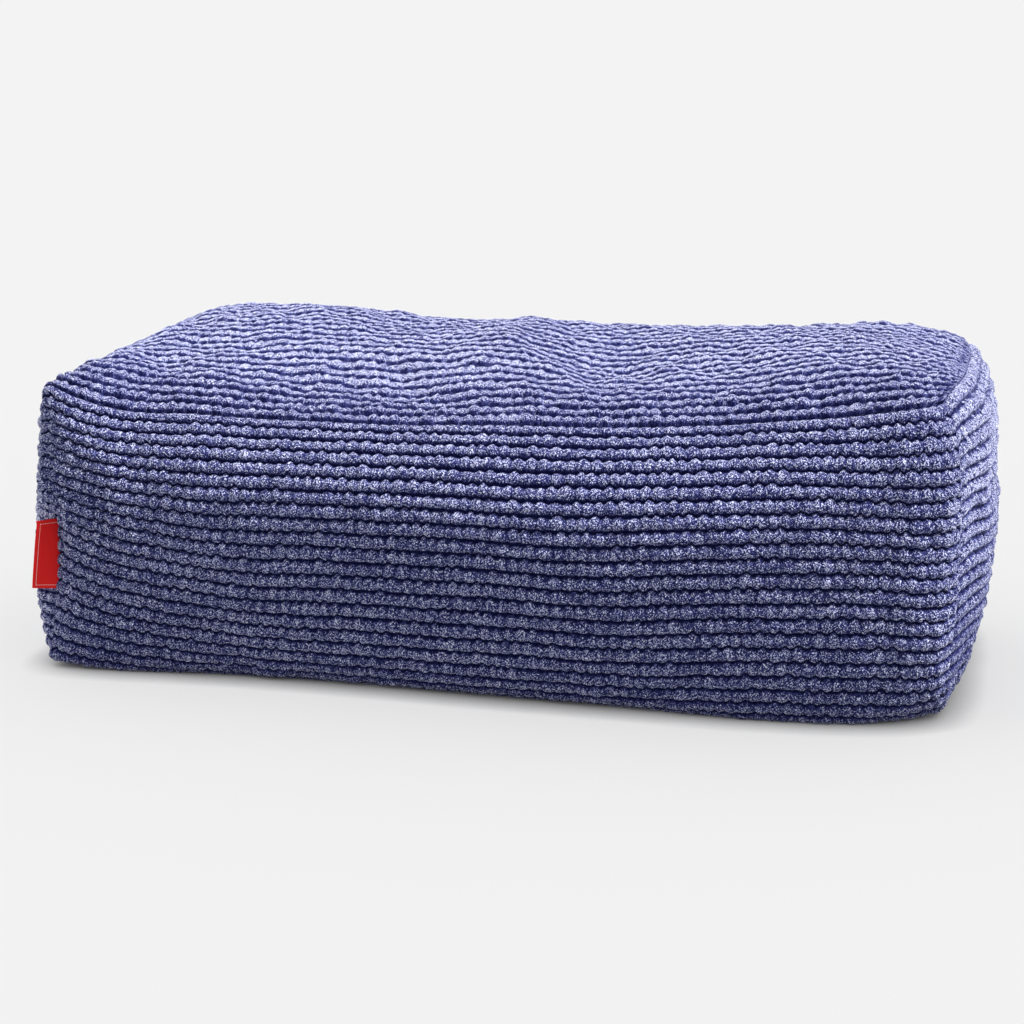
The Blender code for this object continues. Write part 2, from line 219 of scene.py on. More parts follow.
# The pile, with its places in millimetres on the flat cloth. Scales are cells to a millimetre.
TUFT_SIZE = (1.05, 2.2)  # width and length of a tuft
TUFT_LEAN = 35  # how far it leans to one side or the other, in degrees
LEAN_SCALE = 0.16  # of the fields in which the tufts lean to the same side
LEAN_GAIN, LEAN_OFFSET = 8.0, -3.5  # make the borders of those fields sharp
STROKE_TURN = 0.4  # in radians
STROKE_STRETCH = (1.0, 0.5, 1)
GRAIN_SCALE = 1.25
PATCH_SCALE = 0.035
PLAIN = 1.0  # detail of a noise without finer turns

# How light the pile is: a number at which the term is worth nothing, and the term's gain
BORDER_TERM = (0.44, -2.0)
STROKE_TERM = (0.5, 1.3)
GRAIN_TERM = (0.5, 3.4)
PATCH_TERM = (0.5, 0.3)
LEAST_LIGHT = 0.07
GROOVE_LIGHT = 0.05  # share of its lightness that the pile keeps in the painted shade of the grooves
SHEEN_GAIN = 1.6
PILE_COLORS = (
    (0.0, (0.0004, 0.0010, 0.026)),
    (0.45, (0.056, 0.066, 0.235)),
    (1.0, (0.59, 0.61, 0.74)),
)
SHEEN_COLOR = (0.66, 0.68, 0.90)

# The tab, in metres, angles in degrees
TAB_FOOT = 0.085
TAB_HEIGHT = 0.073
TAB_WIDTH = 0.0225
TAB_FLARE = 0.0025
TAB_LAYER = 0.0009
TAB_FOLD_GAP = 0.0008
TAB_SEAT = -0.0020
TAB_HEADING = 192
TAB_TURN = 38
TAB_WAVE = 0.0006  # how far its cloth waves
TAB_WAVE_TURN = 7.5  # over its height, in radians
TAB_STEPS = 28
TAB_BENDS = 11
TAB_ALONG = 10
TAB_SHARP = 50  # edges that turn by more than this are sharp
STITCH_INSET = 0.0036  # from the tab's edges
STITCH_PITCH = 0.0021
STITCH_LENGTH = 0.0017
STITCH_WIDTH = 0.0006
STITCH_HEIGHT = 0.0004
STITCH_SIDES = 4
STITCH_RINGS = ((-1, 0.55), (-0.5, 1), (0.5, 1), (1, 0.55))  # place from its middle, and girth

# The tab's weave, with its places in millimetres
WEAVE_STRETCH = (0.7, 2.6, 1)
WEAVE_GRAIN_SCALE = 1.6
WEAVE_GRAIN_GAIN = 0.5
WEAVE_GAIN, WEAVE_OFFSET = 1.6, -0.7
WEAVE_COLORS = ((0.0, (0.32, 0.002, 0.003)), (1.0, (0.74, 0.008, 0.008)))
THREAD_COLOR = (0.74, 0.46, 0.44)

# The camera, in metres and degrees, as fitted to the photo
CAMERA_YAW = 12.5
CAMERA_PITCH = 12.0
CAMERA_DISTANCE = 2.466
CAMERA_TARGET = (-0.0135, -0.0003, 0.1448)
LENS = 82.2  # in millimetres, as the sensor
SENSOR = 36
FARTHEST = 200

# The studio
BACKDROP = 0.896  # the background's tone
FLOOR_DIFFUSE = 0.35  # share of the light that it sends back, and its own glow makes up the rest
FLOOR_HALF = 60
FLOOR_DROP = 0.0005  # how far it lies under the bag
CONTACT_REACH = 0.035  # how far from the bag the floor's own glow is covered, in metres
CONTACT_SAMPLES = 4
SUNS = (  # strength, spread in degrees, and the direction in which it stands
    ("key", 8.5, 20, (0.60, -0.02, 0.80)),
    ("fill", 1.3, 40, (-0.92, -0.15, 0.35)),
)


def smooth_columns(rows, names, at):
    """Each named column as a smooth curve through the rows, read at the place at."""
    table = np.array(rows, float)
    along, values = table[:, 0], table[:, 1:]
    slope = np.gradient(values, along, axis=0)
    i = min(max(int(np.searchsorted(along, at, side="right")) - 1, 0), len(along) - 2)
    step = along[i + 1] - along[i]
    s = (at - along[i]) / step
    curve = (
        values[i] * (1 + 2 * s) * (1 - s) ** 2
        + slope[i] * step * s * (1 - s) ** 2
        + values[i + 1] * s**2 * (3 - 2 * s)
        + slope[i + 1] * step * s**2 * (s - 1)
    )
    return dict(zip(names.split()[1:], curve))


def quarter(across, up, roundness, turn):
    """Points of a quarter of a rounded box, from its side at turn 0 to its top at turn 1."""
    angle = turn * np.pi / 2
    power = 2 / roundness
    return across * np.cos(angle) ** power, up * np.sin(angle) ** power


def section(u):
    """The section at place u as a fine line of (y, z) points, from the lower front edge over the
    top to the lower back edge, and the length of the cloth up to each of them."""
    size = smooth_columns(SECTIONS, COLUMNS, u)
    mm = {name: value / 1000 for name, value in size.items()}
    turn = 0.5 - 0.5 * np.cos(np.linspace(0, np.pi, SECTION_STEPS))
    rise = mm["crown"] - mm["waist"]
    front, back = HALF_DEPTH + mm["front"], HALF_DEPTH + mm["back"]
    low_y, low_z = quarter(mm["tuck"], mm["waist"], LOW_ROUND, turn[::-1])
    f_y, f_z = quarter(front + mm["set_back"], rise, size["soft"], turn)
    b_y, b_z = quarter(back - mm["set_back"], rise, size["back_soft"], turn[::-1])
    y = np.concatenate([mm["tuck"] - front - low_y, mm["set_back"] - f_y[1:]])
    y = np.concatenate([y, mm["set_back"] + b_y[1:], back - mm["tuck"] + low_y[::-1][1:]])
    z = np.concatenate([mm["waist"] - low_z, mm["waist"] + f_z[1:]])
    z = np.concatenate([z, mm["waist"] + b_z[1:], mm["waist"] - low_z[::-1][1:]])
    rise_share = max(abs(u) - LIFT_FROM, 0) / (1 - LIFT_FROM)
    z = z + FLOOR_LIFT * rise_share**2 * np.clip(1 - z / mm["waist"], 0, 1)
    length = np.concatenate([[0], np.cumsum(np.hypot(np.diff(y), np.diff(z)))])
    return y, z, length


def rib_lengths(u, y, z, length):
    """The length along a section at the knots of its rib count."""
    seam = smooth_columns(SECTIONS, COLUMNS, u)["seam"] / 1000
    corners = length[[int(np.argmax(z - y)), int(np.argmax(z + y))]]
    seams = np.array([seam, length[-1] - seam])
    seams = seams + (corners - seams) * abs(u) ** AT_SEAM
    return np.array([0, seams[0], seams[1], length[-1]])


def hollows(x, y):
    """How far the top is pressed down at each place."""
    names = DENT_COLUMNS.split()
    depth = np.zeros_like(x)
    for row in DENTS:
        dent = dict(zip(names, row))
        turn = np.radians(dent["turn"])
        dx, dy = x - dent["x"] / 1000, y - dent["y"] / 1000
        a = (dx * np.cos(turn) + dy * np.sin(turn)) / (dent["long"] / 1000)
        b = (dy * np.cos(turn) - dx * np.sin(turn)) / (dent["wide"] / 1000)
        depth += dent["depth"] / 1000 * np.exp(-(a**2) - b**2)
    return depth


def upper_share(upright):
    """How much of an upright seam's upper form holds at a share of its height."""
    rise = np.clip((upright - UPPER_FROM) / (UPPER_TO - UPPER_FROM), 0, 1)
    return rise**2 * (3 - 2 * rise)


def wrap(places, ribs):
    """The points of the cloth that runs up the front, over the top and down the back, for each
    pair of a place along the bag and a rib count."""
    knots = np.array([0, SIDE_RIBS, WRAP_RIBS - SIDE_RIBS, WRAP_RIBS])
    upright = np.clip(np.minimum(ribs, WRAP_RIBS - ribs) / SIDE_RIBS, 0, 1)
    across = np.clip((ribs - SIDE_RIBS) / TOP_RIBS, 0, 1) * 2 - 1
    on_top = upright >= 1
    waisted = np.where(on_top, 0, 1 - np.abs(2 * upright - 1) ** SEAM_BOW)
    upper = upper_share(upright)
    top_bow = np.where(on_top, 1 - np.abs(across) ** SEAM_BOW, 0)
    ear = np.where(on_top, np.abs(across) ** EAR_POINT, upright**EAR_POINT)
    corner = np.where(on_top, np.abs(across) ** CORNER_ALONG, upright**CORNER_BELOW)
    points = np.zeros((len(places), len(ribs), 3))
    for i, u in enumerate(places):
        y, z, length = section(u)
        at = np.interp(ribs, knots, rib_lengths(u, y, z, length))
        y_at, z_at = np.interp(at, length, y), np.interp(at, length, z)
        end = ENDS[1 if u > 0 else -1]
        draw = waisted * (end["low"] + (end["high"] - end["low"]) * upper) / 1000
        foot = end["foot"] / 1000 * np.clip(1 - z_at / FOOT_HEIGHT, 0, 1) ** FOOT_CURVE
        inward = draw + foot + (end["top"] * top_bow + end["corner"] * corner) / 1000
        points[i, :, 0] = u * (HALF_LENGTH - inward * abs(u) ** NEAR_END)
        points[i, :, 1] = y_at - np.sign(y_at) * np.maximum(draw, 0) * abs(u) ** NEAR_SEAM
        points[i, :, 2] = z_at + end["ear"] / 1000 * ear * abs(u) ** NEAR_CORNERS
    high = np.clip((points[..., 2] - HOLLOW_FLOOR) / (HOLLOW_FULL - HOLLOW_FLOOR), 0, 1)
    inside = 1 - np.abs(places[:, None]) ** HOLLOWS_WITHIN
    press = hollows(points[..., 0], points[..., 1])
    points[..., 2] -= press * high**2 * (3 - 2 * high) * inside
    return points


def end_panel(side, v, w):
    """The points of an end panel, for each pair of a share v of its depth and w of its height."""
    u = np.array([float(side)])
    front = wrap(u, w * SIDE_RIBS)[0]
    back = wrap(u, WRAP_RIBS - w * SIDE_RIBS)[0]
    top = wrap(u, SIDE_RIBS + v * TOP_RIBS)[0]
    corner_ribs = np.array([0, WRAP_RIBS, SIDE_RIBS, WRAP_RIBS - SIDE_RIBS], float)
    low_front, low_back, top_front, top_back = wrap(u, corner_ribs)[0]
    foot = low_front + v[:, None] * (low_back - low_front)
    vv, ww = v[:, None, None], w[None, :, None]
    points = (1 - vv) * front[None] + vv * back[None]
    points += (1 - ww) * foot[:, None] + ww * top[:, None]
    points -= (1 - ww) * ((1 - vv) * low_front + vv * low_back)
    points -= ww * ((1 - vv) * top_front + vv * top_back)
    shape = ENDS[side]
    swell = 1 - np.abs(2 * v - 1) ** shape["edge"]
    height = (1 - np.abs(2 * w - 1) ** PANEL_CROWN) * (1 - shape["slack"] * upper_share(w))
    swell = swell[:, None] * height[None, :]
    points[..., 0] += side * shape["swell"] / 1000 * swell
    return points


def base_panel(places, v):
    """The points of the base, for each pair of a place along the bag and a share v of its depth."""
    edges = wrap(places, np.array([0.0, WRAP_RIBS]))
    return edges[:, :1] + v[None, :, None] * (edges[:, 1:] - edges[:, :1])


class Surface:
    """A smooth sheet of points with its normals, read between the points of an even grid.
    across runs along the ribs and up over them, both from 0 to 1."""

    def __init__(self, points, outward):
        self.points = points
        along = np.gradient(points, axis=0)
        over = np.gradient(points, axis=1)
        normal = np.cross(along, over)
        normal /= np.linalg.norm(normal, axis=-1, keepdims=True) + 1e-12
        self.normals = normal * outward
        middle = points[:, points.shape[1] // 2]
        steps = np.linalg.norm(np.diff(middle, axis=0), axis=-1)
        self.reach = np.concatenate([[0], np.cumsum(steps)])

    def even_places(self, shares):
        """The places along the ribs that are at these shares of the cloth's length."""
        along = np.linspace(0, 1, len(self.reach))
        return np.interp(shares * self.reach[-1], self.reach, along)

    def read(self, grid, across, up):
        """A grid's values at each pair of places, by straight lines between its points."""
        rows, columns = grid.shape[0] - 1, grid.shape[1] - 1
        a = np.clip(across, 0, 1) * rows
        b = np.clip(up, 0, 1) * columns
        i = np.minimum(a.astype(int), rows - 1)
        j = np.minimum(b.astype(int), columns - 1)
        a, b = (a - i)[..., None], (b - j)[..., None]
        low = grid[i, j] * (1 - a) + grid[i + 1, j] * a
        high = grid[i, j + 1] * (1 - a) + grid[i + 1, j + 1] * a
        return low * (1 - b) + high * b

    def at(self, across, up):
        """The point and the normal at each pair of places."""
        normal = self.read(self.normals, across, up)
        normal /= np.linalg.norm(normal, axis=-1, keepdims=True) + 1e-12
        return self.read(self.points, across, up), normal


def inward_of(points):
    """The direction into the bag at a point of a seam, the same for the panels that share it."""
    core = np.stack([np.clip(points[..., 0], -CORE_HALF_LENGTH, CORE_HALF_LENGTH),
                     points[..., 1] * CORE_DEPTH, np.full(points.shape[:-1], CORE_HEIGHT)], -1)
    step = core - points
    return step / np.linalg.norm(step, axis=-1, keepdims=True)


def smooth_step(x):
    """From 0 to 1 over the same range, level at both ends."""
    x = np.clip(x, 0, 1)
    return x * x * (3 - 2 * x)


class Cloth:
    """The relief of the bobbled ribs on a panel: their edges, faces and creases. Ribs are
    numbered k from the panel's lower edge, s counts bobbles along them, across is the share of
    the panel's length, and q the share of a rib."""

    def __init__(self, kind, length):
        self.kind = kind
        self.bobbles = length / BOBBLE_PITCH
        self.random = random = np.random.default_rng(kind["seed"])
        size = (kind["ribs"] + 1, int(self.bobbles) + SPARE_BOBBLES)
        self.high = 1 + kind["uneven"] * random.uniform(-1, 1, size)
        self.bridge = random.uniform(*BRIDGE_RANGE, size) * kind["broken"]
        self.tooth = random.uniform(*TOOTH_RANGE, size)
        self.tone = random.uniform(0, 1, size)
        spread = random.uniform(-START_SPREAD, START_SPREAD, size[0])
        self.start = np.arange(size[0]) % 2 * STAGGER + spread
        self.wander = random.uniform(0, 2 * np.pi, (size[0], len(DRIFT_WAVES)))
        self.swing = random.uniform(0, 2 * np.pi, len(SWAY_WAVES))

    def bobble(self, k, s):
        """The number of the bobble of rib k at each place, and the share of it that is passed."""
        drift = 0
        for (size, turn), start in zip(DRIFT_WAVES, self.wander[k]):
            drift = drift + size * np.sin(s * turn + start)
        place = s + 2 + self.start[k] + drift
        return place.astype(int), place % 1

    def half_gap(self, across):
        """Half the width of the grooves at a place along the panel."""
        wider = (self.kind["gap_middle"] - self.kind["gap"]) * np.sin(np.pi * across) ** 2
        return (self.kind["gap"] + wider) / 2

    def upper_edge(self, k, s, across, fade):
        """The rib count where rib k ends: its bobbles' tips stand up into the groove."""
        number, share = self.bobble(k, s)
        tip = np.sin(np.pi * share) ** TIP_POWER * self.tooth[k, number]
        return k + 1 - fade * (self.half_gap(across) + TIP_SETBACK - TOOTH * tip)

    def lower_edge(self, k, s, across, fade):
        """The rib count where rib k starts: its bobbles hang down into the groove."""
        share = self.bobble(k, s)[1]
        sag = np.sin(np.pi * share) ** SAG_POWER
        return k + fade * (self.half_gap(across) + SAG * (1 - sag))

    def sway(self, counts, across):
        """How far the ribs wander from their even places, in ribs."""
        height = counts / self.kind["ribs"]
        wave = 0
        for (size, waves, turn), start in zip(SWAY_WAVES, self.swing):
            wave = wave + size * np.sin(2 * np.pi * waves * across + start + turn * height)
        drawn_up = self.kind["hitch"] * np.exp(-((across / HITCH_REACH) ** 2))
        return (self.kind["sway"] * wave + drawn_up) * np.sin(np.pi * height)

    def rows(self, s, across, fade):
        """For each row of points its rib counts, its share of the rib, and the rib's number.
        The first and the last row are the panel's own edges, in the grooves outside its ribs."""
        ribs = self.kind["ribs"]
        high = np.zeros_like(s)
        yield high, 0.0, 0
        for k in range(ribs):
            low = np.maximum(self.lower_edge(k, s, across, fade), high + LEAST_GAP)
            high = np.minimum(self.upper_edge(k, s, across, fade), ribs - LEAST_GAP)
            for q in self.kind["rows"]:
                counts = low + q * (high - low)
                yield counts + self.sway(counts, across), q, k
        yield np.full_like(s, ribs), 1.0, ribs - 1

    def relief(self, s, q, k):
        """Height over the groove, how light it is painted, lower where painted shade falls in the
        grooves, on the flanks and in the creases, and the bobble's tone, at each place."""
        number, share = self.bobble(k, s)
        rise = np.sin(np.pi * q**CREST_POWER) ** RIB_POWER
        crease = np.exp(-((np.minimum(share, 1 - share) / CREASE_REACH) ** 2))
        dome = 1 - DOME_DROP * np.abs(2 * share - 1) ** 2
        height = RIB_RELIEF * rise * dome * self.high[k, number]
        height -= self.kind["crease"] * crease * rise
        height += FUZZ * rise * self.random.uniform(-1, 1, len(s))
        # Painted shade: dark on the rib's lower flank, under the rib above (wider on the lowest ribs),
        # and in the creases between bobbles
        low = (1 - k / self.kind["ribs"]) ** 2
        upper_shade = UPPER_FLANK_SHADE + (self.kind["foot_flank"] - UPPER_FLANK_SHADE) * low
        unshaded_face = smooth_step(q / self.kind["flank"]) * smooth_step((1 - q) / upper_shade)
        unshaded_face = unshaded_face * (1 - self.kind["crease"] / CREASE_SHADE_DEPTH * crease)
        covered = self.bridge[k, number] * crease
        return height, 1 - (1 - unshaded_face) * (1 - covered), self.tone[k, number]

    def grids(self, s, across, fade):
        """All rows side by side: their shares of the panel's height, then what relief gives."""
        rows = []
        for counts, q, k in self.rows(s, across, fade):
            rows.append((counts / self.kind["ribs"], *self.relief(s, q, k)))
        return (np.array(kept).T for kept in zip(*rows))


def lumps(flat, seed):
    """A broad uneven field from about -1 to 1 over places on the flat cloth."""
    random = np.random.default_rng(seed)
    field = np.zeros(flat.shape[:-1])
    for _ in range(LUMP_WAVES):
        heading = random.uniform(0, np.pi)
        turns = 2 * np.pi / random.uniform(*LUMP_LENGTHS)
        across = flat[..., 0] * np.cos(heading) + flat[..., 1] * np.sin(heading)
        field += np.sin(across * turns + random.uniform(0, 2 * np.pi))
    return field / np.sqrt(LUMP_WAVES)


def tacks(from_end, counts):
    """How near a place is to a stitch beside the top's end seams, from 0 to 1. A rib has one."""
    row = np.exp(-(((from_end - TACK_FROM_END) / TACK_WIDTH) ** 2))
    return row * smooth_step(2 * np.sin(np.pi * counts) ** 2)


def line_strip(strips, fine, coarse, flip):
    """Fill between two lines of points that run side by side, though they differ in number."""
    i = j = 0
    while i < len(fine) - 1 or j < len(coarse) - 1:
        fine_next = (i + 1) / (len(fine) - 1)
        coarse_next = (j + 1) / (len(coarse) - 1)
        if j >= len(coarse) - 1 or (i < len(fine) - 1 and fine_next <= coarse_next):
            face = (fine[i], fine[i + 1], coarse[j])
            i += 1
        else:
            face = (fine[i], coarse[j + 1], coarse[j])
            j += 1
        strips.append(face[::-1] if flip else face)


def grid_faces(numbers, flip):
    """Four-cornered faces between neighbouring rows of point numbers."""
    a, b = numbers[:-1, :-1], numbers[1:, :-1]
    c, d = numbers[1:, 1:], numbers[:-1, 1:]
    order = (a, d, c, b) if flip else (a, b, c, d)
    return np.stack([part.ravel() for part in order], -1)


def make_mesh(name, points, quads, triangles=()):
    """A smoothly shaded object from points and the numbers of each face's corners."""
    loops = np.concatenate([np.ravel(quads), np.ravel(triangles)]).astype(np.int32)
    sizes = np.concatenate([np.full(len(quads), 4), np.full(len(triangles), 3)])
    starts = np.concatenate([[0], np.cumsum(sizes)[:-1]])
    mesh = bpy.data.meshes.new(name)
    mesh.vertices.add(len(points))
    mesh.vertices.foreach_set("co", np.ravel(points).astype(np.float32))
    mesh.loops.add(len(loops))
    mesh.loops.foreach_set("vertex_index", loops)
    mesh.polygons.add(len(sizes))
    mesh.polygons.foreach_set("loop_start", starts.astype(np.int32))
    mesh.polygons.foreach_set("loop_total", sizes.astype(np.int32))
    mesh.update(calc_edges=True)
    mesh.shade_smooth()
    return add_object(name, mesh)


def add_object(name, data):
    """A new object of the scene with this mesh, camera or light."""
    made = bpy.data.objects.new(name, data)
    bpy.context.scene.collection.objects.link(made)
    return made


def write_attribute(mesh, name, values):
    """Store a number or a vector at each of the mesh's points, 0 at those past the end."""
    vector = values.ndim == 2
    kept = np.zeros((len(mesh.vertices), 3) if vector else len(mesh.vertices), np.float32)
    kept[: len(values)] = values
    made = mesh.attributes.new(name, "FLOAT_VECTOR" if vector else "FLOAT", "POINT")
    made.data.foreach_set("vector" if vector else "value", kept.ravel())


def inner_side(points, normals, inward):
    """The points of a panel's plain inner side, fewer than on its outer face. Those at its
    border are the edge of the seam allowance."""
    picks = []
    for size, every in zip(points.shape, INNER_EVERY):
        picks.append(np.linspace(0, size - 1, max(size // every, 3)).round().astype(int))
    chosen = np.ix_(*picks)
    inner = (points - normals * (RIB_RELIEF / 2 + CLOTH))[chosen]
    border = np.ones(inner.shape[:2], bool)
    border[1:-1, 1:-1] = False
    allowance = (points + inward * (GROOVE_SEAM + RIM))[chosen]
    inner = np.where(border[..., None], allowance, inner)
    inner[..., 2] = np.maximum(inner[..., 2], INNER_LOWEST)
    return inner


def closed_faces(outer, inner, flip):
    """The faces between two grids of point numbers, one behind the other, and round them."""
    strips = []
    for edge in (np.s_[:, 0], np.s_[-1, :], np.s_[::-1, -1], np.s_[0, ::-1]):
        line_strip(strips, outer[edge], inner[edge], flip)
    return np.concatenate([grid_faces(outer, flip), grid_faces(inner, not flip)]), strips


def panel(name, surface, shift):
    """One sewn panel of the cloth as a closed piece: its bobbled face, the seam allowance that
    turns in all round it, and its plain inner side."""
    kind = dict(zip(PANEL_COLUMNS.split(), PANELS[name]))
    kind.update(zip(PAINTED_LIGHT_COLUMNS.split(), PAINTED_LIGHT[name]))
    ribs, length = kind["ribs"], surface.reach[-1]
    cloth = Cloth(kind, length)
    per_bobble = BASE_COLUMNS_PER_BOBBLE if name == "cover_base" else COLUMNS_PER_BOBBLE
    even = np.linspace(0, 1, int(cloth.bobbles * per_bobble) + 1)
    end_fade = smooth_step(np.minimum(even, 1 - even) * length / SEAM_FADE)
    up, height, face, tone = cloth.grids(even * cloth.bobbles, even, end_fade)
    place = np.repeat(surface.even_places(even)[:, None], up.shape[1], axis=1)
    points, normals = surface.at(place, up)
    inward = inward_of(points)
    even, end_fade = even[:, None], end_fade[:, None]

    # How far each place is from the seams, and how far a seam is sunk
    from_end = np.minimum(even, 1 - even) * length
    from_side = np.minimum(up, 1 - up) * ribs
    from_seam = np.minimum(from_end, from_side * RIB_PITCH)
    on_side = np.zeros(up.shape)
    on_side[:, [0, -1]] = 1
    side_seam = END_SEAM if name.endswith("_end") else GROOVE_SEAM
    dip = END_SEAM * (1 - end_fade) + side_seam * end_fade * on_side

    # The ribs' height, measured from half of it, and the lumps
    relief = 1 - (1 - kind["relief"]) * smooth_step(from_side / RELIEF_BLEND)
    lift = (height - RIB_RELIEF / 2) * relief * (end_fade * (1 - on_side))
    flat = np.stack([np.broadcast_to(even * length, up.shape), up * ribs * RIB_PITCH,
                     np.full(up.shape, kind["seed"] * PANELS_APART)], -1)
    lift = lift + kind["lumps"] * lumps(flat, kind["seed"]) * smooth_step(from_seam / LUMP_FADE)
    face = face * (1 - SEAM_SHADE * (1 - end_fade))
    if name == "cover_top":
        tack = tacks(from_end, up * ribs)
        lift = lift - TACK_DEPTH * tack
        face = face * (1 - tack)
    outer = points + normals * lift[..., None] + inward * dip[..., None]
    outer[..., 2] = np.maximum(outer[..., 2], OUTER_LOWEST)

    inner = inner_side(points, normals, inward)
    numbers = np.arange(up.size).reshape(up.shape)
    inner_numbers = up.size + np.arange(inner[..., 0].size).reshape(inner.shape[:2])
    turned = np.cross(points[1, 0] - points[0, 0], points[0, 1] - points[0, 0])
    quads, strips = closed_faces(numbers, inner_numbers, np.dot(turned, normals[0, 0]) < 0)
    every = np.concatenate([outer.reshape(-1, 3), inner.reshape(-1, 3)]) + shift
    made = make_mesh(name, every, quads, strips)
    # face holds the painted shade of the grooves, flanks, creases and seams, and is fully dark at the
    # tack stitches
    write_attribute(made.data, "face", face.ravel())
    # Painted light and shade: each panel is painted lighter higher up, from tips_low to tips
    tips = kind["tips_low"] + (kind["tips"] - kind["tips_low"]) * smooth_step(up / kind["blend"])
    write_attribute(made.data, "tips", (tips + TONES * (tone - 0.5)).ravel())
    write_attribute(made.data, "cloth", flat.reshape(-1, 3) * 1000)
    return made


def grey(tone):
    """A grey of this tone as a node's colour."""
    return (tone, tone, tone, 1)


class Look:
    """A material, built from nodes."""

    def __init__(self, name):
        self.material = bpy.data.materials.new(name)
        self.material.use_nodes = True
        self.nodes = self.material.node_tree.nodes
        self.links = self.material.node_tree.links
        self.nodes.clear()

    def add(self, kind, inputs=None, **settings):
        """A new node. Its inputs are given by their names or numbers, each as a value or as
        another node's output."""
        made = self.nodes.new(kind)
        for name, value in settings.items():
            setattr(made, name, value)
        for name, value in (inputs or {}).items():
            if isinstance(value, bpy.types.NodeSocket):
                self.links.new(value, made.inputs[name])
            else:
                made.inputs[name].default_value = value
        return made

    def attribute(self, name, output="Fac"):
        """What write_attribute stored."""
        made = self.add("ShaderNodeAttribute", attribute_type="GEOMETRY", attribute_name=name)
        return made.outputs[output]

    def math(self, operation, *terms, clamp=False):
        """A calculation with one to three terms, each a number or another node's output."""
        inputs = dict(enumerate(terms))
        made = self.add("ShaderNodeMath", inputs, operation=operation, use_clamp=clamp)
        return made.outputs[0]

    def turned_over(self, vector, turn, stretch):
        """The cloth's own places, turned and then stretched."""
        turned = self.add("ShaderNodeMapping", {"Vector": vector, "Rotation": (0, 0, turn)})
        inputs = {"Vector": turned.outputs[0], "Scale": stretch}
        return self.add("ShaderNodeMapping", inputs).outputs[0]

    def noise(self, vector, scale, detail=2.0):
        """Soft noise, with finer turns as detail grows."""
        inputs = {"Vector": vector, "Scale": scale, "Detail": detail, "Roughness": 0.6}
        return self.add("ShaderNodeTexNoise", inputs).outputs["Fac"]

    def tufts(self, cloth, lean):
        """How near a place is to the border of its tuft of pile, 0 at the tuft's middle."""
        width, height = TUFT_SIZE
        places = self.turned_over(cloth, np.radians(lean), (1 / width, 1 / height, 1))
        inputs = {"Vector": places, "Scale": 1.0}
        cells = self.add("ShaderNodeTexVoronoi", inputs, feature="F1", voronoi_dimensions="3D")
        return cells.outputs["Distance"]

    def ramp(self, level, stops):
        """The colour at each level, between those of the stops."""
        made = self.add("ShaderNodeValToRGB", {"Fac": level})
        first, *between, last = stops
        for element, (place, color) in zip(made.color_ramp.elements, (first, last)):
            element.position = place
            element.color = (*color, 1)
        for place, color in between:
            made.color_ramp.elements.new(place).color = (*color, 1)
        return made.outputs[0]

    def bump(self, level, strength, depth):
        """Low relief that is higher where the level is."""
        inputs = {"Height": level, "Strength": strength, "Distance": depth}
        return self.add("ShaderNodeBump", inputs).outputs[0]

    def finish(self, inputs):
        """The material, with these inputs of its shader."""
        shader = self.add("ShaderNodeBsdfPrincipled", inputs)
        self.add("ShaderNodeOutputMaterial", {"Surface": shader.outputs[0]})
        return self.material


def chenille():
    """Short dense pile from navy to lavender: painted shade makes it navy in the grooves, and painted
    light makes its tips lavender, more on some panels.
    """
    look = Look("chenille")
    cloth = look.attribute("cloth", "Vector")
    side = look.noise(cloth, LEAN_SCALE, PLAIN)
    side = look.math("MULTIPLY_ADD", side, LEAN_GAIN, LEAN_OFFSET, clamp=True)
    one, other = look.tufts(cloth, TUFT_LEAN), look.tufts(cloth, -TUFT_LEAN)
    border = look.add("ShaderNodeMix", {0: side, 2: one, 3: other}, data_type="FLOAT").outputs[0]
    strokes = look.noise(look.turned_over(cloth, STROKE_TURN, STROKE_STRETCH), scale=1.0)
    grain = look.noise(cloth, GRAIN_SCALE, PLAIN)
    patches = look.noise(cloth, PATCH_SCALE)
    # The painted light and shade of each panel, lighter higher up
    level = look.attribute("tips")
    sources = (border, strokes, grain, patches)
    terms = (BORDER_TERM, STROKE_TERM, GRAIN_TERM, PATCH_TERM)
    for source, (nothing, gain) in zip(sources, terms):
        term = look.math("SUBTRACT", source, nothing)
        level = look.math("MULTIPLY_ADD", term, gain, level)
    level = look.math("MAXIMUM", level, LEAST_LIGHT)
    # Painted shade: the pile is darkened in the grooves, creases, flanks and seams
    face = look.attribute("face")
    painted_shade_factor = look.math("MULTIPLY_ADD", face, 1 - GROOVE_LIGHT, GROOVE_LIGHT)
    level = look.math("MULTIPLY", level, painted_shade_factor, clamp=True)
    return look.finish({
        "Base Color": look.ramp(level, PILE_COLORS),
        "Normal": look.bump(level, strength=0.6, depth=0.0012),
        "Roughness": 0.95,
        "Specular IOR Level": 0.10,
        "Sheen Weight": look.math("MULTIPLY", level, SHEEN_GAIN, clamp=True),
        "Sheen Roughness": 0.45,
        "Sheen Tint": (*SHEEN_COLOR, 1),
    })


